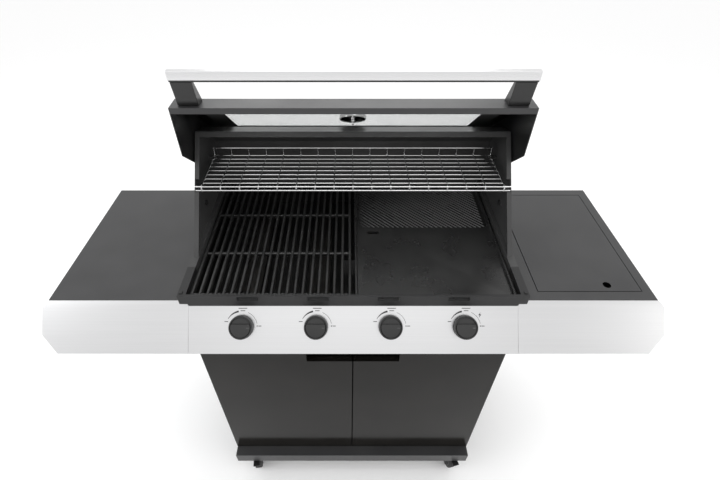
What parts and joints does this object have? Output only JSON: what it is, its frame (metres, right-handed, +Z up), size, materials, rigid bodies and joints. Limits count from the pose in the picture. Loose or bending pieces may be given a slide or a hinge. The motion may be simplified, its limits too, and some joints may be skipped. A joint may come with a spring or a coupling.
{
  "type": "gas barbecue grill",
  "caption": "Gas barbecue grill with hinged windowed hood, grill and hotplate, warming rack, knobs, side shelves, two-door cabinet and swivel casters.",
  "frame": {"origin": "on the floor under the middle of the whole object, hood open", "axes": "+X to the user's right, -Y towards the user, +Z up"},
  "size_m": [1.528, 0.612, 1.363],
  "materials": {
    "dark_paint": "satin dark grey powder coat",
    "gloss_enamel": "gloss black vitreous enamel",
    "cowl_enamel": "semi-gloss black enamel",
    "firebox_enamel": "matte black enamel",
    "stainless_panel": "fine brushed",
    "stainless_handle": "fine brushed bar",
    "aluminised": "dull aluminised sheet",
    "fastener_steel": "blackened steel",
    "black_rubber": "matte",
    "burner_steel": "satin",
    "valve_brass": "machined",
    "window_glass": "clear toughened glass",
    "dial_steel": "satin case",
    "black_plastic": "fine satin grain",
    "cast_iron": "matte enamelled casting",
    "plate_iron": "satin enamelled casting",
    "rack_chrome": "bright plated wire",
    "zinc_steel": "zinc plated pressed steel",
    "wheel_rubber": "black tread on a plastic hub"
  },
  "bodies": {
    "frame": {"base_shelf": "dark_paint", "side_panel_left": "dark_paint", "side_panel_right": "dark_paint", "back_panel": "dark_paint", "header_rail": "dark_paint", "shelf_left": "dark_paint", "shelf_right": "dark_paint", "control_panel": "stainless_panel", "fascia_left": "stainless_panel", "fascia_right": "stainless_panel", "gas_manifold": "aluminised", "firebox": "firebox_enamel", "firebox_front_lip": "dark_paint", "cowl": "cowl_enamel", "hood_bolt_left": "fastener_steel", "hood_bolt_right": "fastener_steel", "hood_bumper_left": "black_rubber", "hood_bumper_right": "black_rubber", "flame_tamer_1": "burner_steel", "flame_tamer_2": "burner_steel", "gas_valve_1": "valve_brass", "burner_1": "burner_steel", "gas_valve_2": "valve_brass", "burner_2": "burner_steel", "gas_valve_3": "valve_brass", "burner_3": "burner_steel", "gas_valve_4": "valve_brass", "burner_4": "burner_steel"},
    "hood": {"hood_shell": "dark_paint", "hood_window": "window_glass", "window_frame": "cowl_enamel", "thermometer": "dial_steel", "hood_handle": "stainless_handle", "handle_bracket_left": "black_plastic", "handle_bracket_right": "black_plastic"},
    "left_door": {"door_left": "gloss_enamel"},
    "right_door": {"door_right": "gloss_enamel"},
    "insert": {"shelf_insert": "dark_paint"},
    "grill": {"cooking_grill": "cast_iron"},
    "plate": {"hotplate": "plate_iron"},
    "rack": {"warming_rack": "rack_chrome"},
    "tray": {"drip_tray": "firebox_enamel"},
    "spindle_1": {"valve_spindle_1": "valve_brass"},
    "knob_1": {"knob_1": "black_plastic"},
    "spindle_2": {"valve_spindle_2": "valve_brass"},
    "knob_2": {"knob_2": "black_plastic"},
    "spindle_3": {"valve_spindle_3": "valve_brass"},
    "knob_3": {"knob_3": "black_plastic"},
    "spindle_4": {"valve_spindle_4": "valve_brass"},
    "knob_4": {"knob_4": "black_plastic"},
    "swivel_front_left": {"caster_front_left_fork": "zinc_steel"},
    "wheel_front_left": {"caster_front_left_wheel": "wheel_rubber"},
    "brake_front_left": {"caster_front_left_brake_lever": "black_plastic"},
    "swivel_front_right": {"caster_front_right_fork": "zinc_steel"},
    "wheel_front_right": {"caster_front_right_wheel": "wheel_rubber"},
    "brake_front_right": {"caster_front_right_brake_lever": "black_plastic"},
    "swivel_back_left": {"caster_back_left_fork": "zinc_steel"},
    "wheel_back_left": {"caster_back_left_wheel": "wheel_rubber"},
    "swivel_back_right": {"caster_back_right_fork": "zinc_steel"},
    "wheel_back_right": {"caster_back_right_wheel": "wheel_rubber"}
  },
  "joints": [
    {"name": "hood_hinge", "type": "hinge", "parent": "frame", "child": "hood", "pos_m": [0, 0.074, 0.974], "axis": [1, 0, 0], "range_deg": [0, 90]},
    {"name": "left_door_hinge", "type": "hinge", "parent": "frame", "child": "left_door", "pos_m": [-0.395, -0.249, 0.1486], "axis": [0, 0, -1], "range_deg": [0, 110]},
    {"name": "right_door_hinge", "type": "hinge", "parent": "frame", "child": "right_door", "pos_m": [0.395, -0.249, 0.1486], "axis": [0, 0, 1], "range_deg": [0, 110]},
    {"name": "insert_lift", "type": "slide", "parent": "frame", "child": "insert", "axis": [0, 0, 1], "range_m": [0, 0.05]},
    {"name": "grill_lift", "type": "slide", "parent": "frame", "child": "grill", "axis": [0, 0, 1], "range_m": [0, 0.04]},
    {"name": "plate_lift", "type": "slide", "parent": "frame", "child": "plate", "axis": [0, 0, 1], "range_m": [0, 0.04]},
    {"name": "rack_lift", "type": "slide", "parent": "frame", "child": "rack", "axis": [0, 0, 1], "range_m": [0, 0.012]},
    {"name": "tray_slide", "type": "slide", "parent": "frame", "child": "tray", "axis": [0, 1, 0], "range_m": [0, 0.3]},
    {"name": "knob_1_turn", "type": "hinge", "parent": "frame", "child": "spindle_1", "pos_m": [-0.27375, -0.26103, 0.84647], "axis": [0, -0.7331, 0.6801], "range_deg": [0, 180]},
    {"name": "knob_1_push", "type": "slide", "parent": "spindle_1", "child": "knob_1", "axis": [0, 0.7331, -0.6801], "range_m": [0, 0.003], "stiffness_N_per_m": 800, "springref_m": -0.001},
    {"name": "knob_2_turn", "type": "hinge", "parent": "frame", "child": "spindle_2", "pos_m": [-0.09125, -0.26103, 0.84647], "axis": [0, -0.7331, 0.6801], "range_deg": [0, 180]},
    {"name": "knob_2_push", "type": "slide", "parent": "spindle_2", "child": "knob_2", "axis": [0, 0.7331, -0.6801], "range_m": [0, 0.003], "stiffness_N_per_m": 800, "springref_m": -0.001},
    {"name": "knob_3_turn", "type": "hinge", "parent": "frame", "child": "spindle_3", "pos_m": [0.09125, -0.26103, 0.84647], "axis": [0, -0.7331, 0.6801], "range_deg": [0, 180]},
    {"name": "knob_3_push", "type": "slide", "parent": "spindle_3", "child": "knob_3", "axis": [0, 0.7331, -0.6801], "range_m": [0, 0.003], "stiffness_N_per_m": 800, "springref_m": -0.001},
    {"name": "knob_4_turn", "type": "hinge", "parent": "frame", "child": "spindle_4", "pos_m": [0.27375, -0.26103, 0.84647], "axis": [0, -0.7331, 0.6801], "range_deg": [0, 180]},
    {"name": "knob_4_push", "type": "slide", "parent": "spindle_4", "child": "knob_4", "axis": [0, 0.7331, -0.6801], "range_m": [0, 0.003], "stiffness_N_per_m": 800, "springref_m": -0.001},
    {"name": "caster_front_left_swivel", "type": "hinge", "parent": "frame", "child": "swivel_front_left", "pos_m": [-0.35, -0.222, 0.1], "axis": [0, 0, 1], "continuous": true},
    {"name": "caster_front_left_spin", "type": "hinge", "parent": "swivel_front_left", "child": "wheel_front_left", "pos_m": [-0.3461, -0.24973, 0.0375], "axis": [0.9903, 0.1392, 0], "continuous": true},
    {"name": "caster_front_left_brake", "type": "hinge", "parent": "swivel_front_left", "child": "brake_front_left", "pos_m": [-0.34447, -0.26131, 0.0875], "axis": [0.9903, 0.1392, 0], "range_deg": [0, 15]},
    {"name": "caster_front_right_swivel", "type": "hinge", "parent": "frame", "child": "swivel_front_right", "pos_m": [0.35, -0.222, 0.1], "axis": [0, 0, 1], "continuous": true},
    {"name": "caster_front_right_spin", "type": "hinge", "parent": "swivel_front_right", "child": "wheel_front_right", "pos_m": [0.35725, -0.24905, 0.0375], "axis": [0.9659, 0.2588, 0], "continuous": true},
    {"name": "caster_front_right_brake", "type": "hinge", "parent": "swivel_front_right", "child": "brake_front_right", "pos_m": [0.36028, -0.26035, 0.0875], "axis": [0.9659, 0.2588, 0], "range_deg": [0, 15]},
    {"name": "caster_back_left_swivel", "type": "hinge", "parent": "frame", "child": "swivel_back_left", "pos_m": [-0.35, 0.19, 0.1], "axis": [0, 0, 1], "continuous": true},
    {"name": "caster_back_left_spin", "type": "hinge", "parent": "swivel_back_left", "child": "wheel_back_left", "pos_m": [-0.35, 0.218, 0.0375], "axis": [1, 0, 0], "continuous": true},
    {"name": "caster_back_right_swivel", "type": "hinge", "parent": "frame", "child": "swivel_back_right", "pos_m": [0.35, 0.19, 0.1], "axis": [0, 0, 1], "continuous": true},
    {"name": "caster_back_right_spin", "type": "hinge", "parent": "swivel_back_right", "child": "wheel_back_right", "pos_m": [0.35, 0.218, 0.0375], "axis": [1, 0, 0], "continuous": true}
  ]
}
